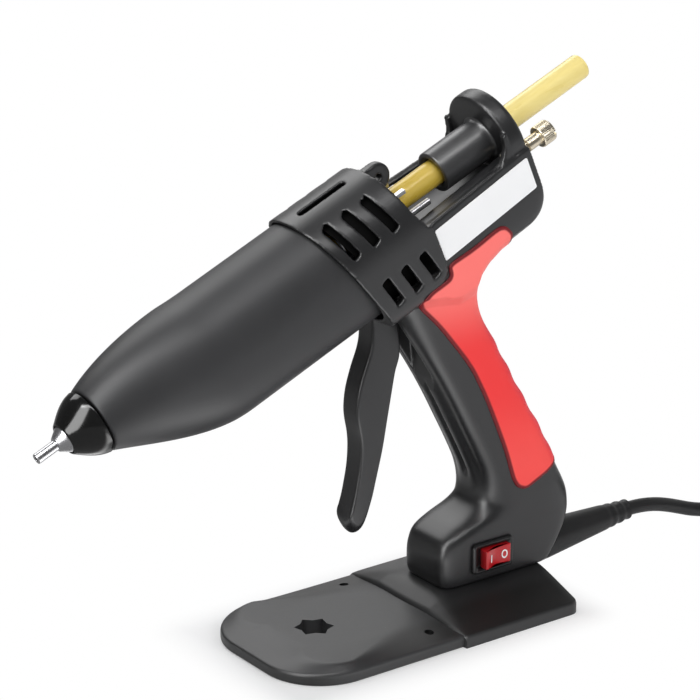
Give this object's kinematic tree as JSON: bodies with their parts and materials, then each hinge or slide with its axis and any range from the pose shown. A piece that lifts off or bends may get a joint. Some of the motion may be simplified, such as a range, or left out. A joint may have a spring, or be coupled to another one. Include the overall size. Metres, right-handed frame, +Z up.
{
  "type": "hot glue applicator",
  "caption": "Trigger-fed hot glue applicator for round glue sticks, with a long tapered nose, vented collar and soft-backed handle, standing on a screw-down bench base.",
  "frame": {"origin": "on the bench, midway between the two bench screw holes of the stand", "axes": "+Z up, -X toward the nozzle, +X toward the mains lead, Y across the mirror plane with the switch and label on the -Y side"},
  "size_m": [0.5352, 0.1137, 0.2553],
  "materials": {
    "stand_front": "fine matte",
    "stand_rear": "fine matte",
    "casing": "satin",
    "cone": "satin",
    "cap": "gloss",
    "grip": "soft satin",
    "label": "plain",
    "steel": "plain",
    "brass": "plain",
    "aluminium": "cast",
    "insulation": "plain",
    "inner": "plain",
    "stick": "waxy",
    "rocker": "gloss",
    "lead": "satin",
    "tie": "woven"
  },
  "bodies": {
    "casing": {"base_tray": "stand_front", "base_saddle": "stand_rear", "saddle_screws": "steel", "foot_screws": "steel", "left_shell": "casing", "right_shell": "casing", "shell_screws": "steel", "soft_grip": "grip", "label_plate": "label", "nose_cone": "cone", "nose_cap": "cap", "nozzle": "steel", "melt_chamber": "aluminium", "heater_cartridges": "steel", "thermostat": "insulation", "chamber_bracket": "inner", "inlet_sleeve": "insulation", "guide_rods": "steel", "return_spring": "steel", "trigger_pin": "steel", "stick_guide": "casing", "adjuster_nut": "brass", "switch_housing": "casing", "terminal_block": "insulation", "wire_loom": "insulation", "strain_relief": "lead", "cord_run": "lead", "cord_coil": "lead", "cord_tie": "tie", "plug_body": "lead", "plug_pins": "steel"},
    "trigger": {"trigger": "casing"},
    "feed": {"feed_carriage": "inner", "stick_clamp": "steel", "drive_pin": "steel", "glue_stick": "stick"},
    "adjuster": {"adjuster_screw": "steel"},
    "rocker": {"switch_rocker": "rocker"}
  },
  "joints": [
    {"name": "trigger_pull", "type": "hinge", "parent": "casing", "child": "trigger", "pos_m": [-0.00623, 0, 0.16339], "axis": [0, -1, 0], "range_deg": [0, 24.4]},
    {"name": "feed_slide", "type": "slide", "parent": "casing", "child": "feed", "axis": [-0.9184, 0, -0.3955], "range_m": [0, 0.00808], "stiffness_N_per_m": 400, "springref_m": -0.002, "deforming": ["return_spring"]},
    {"name": "adjuster_turn", "type": "hinge", "parent": "casing", "child": "adjuster", "pos_m": [0.06726, -0.016, 0.2228], "axis": [0.9184, 0, 0.3955], "range_deg": [-180, 180]},
    {"name": "rocker_tilt", "type": "hinge", "parent": "casing", "child": "rocker", "pos_m": [0.049, -0.0136, 0.0275], "axis": [0, 0, 1], "range_deg": [-16, 0]}
  ],
  "couplings": [
    {"joint": "trigger_pull", "follows": "feed_slide", "rad_per_m": 51.86}
  ]
}
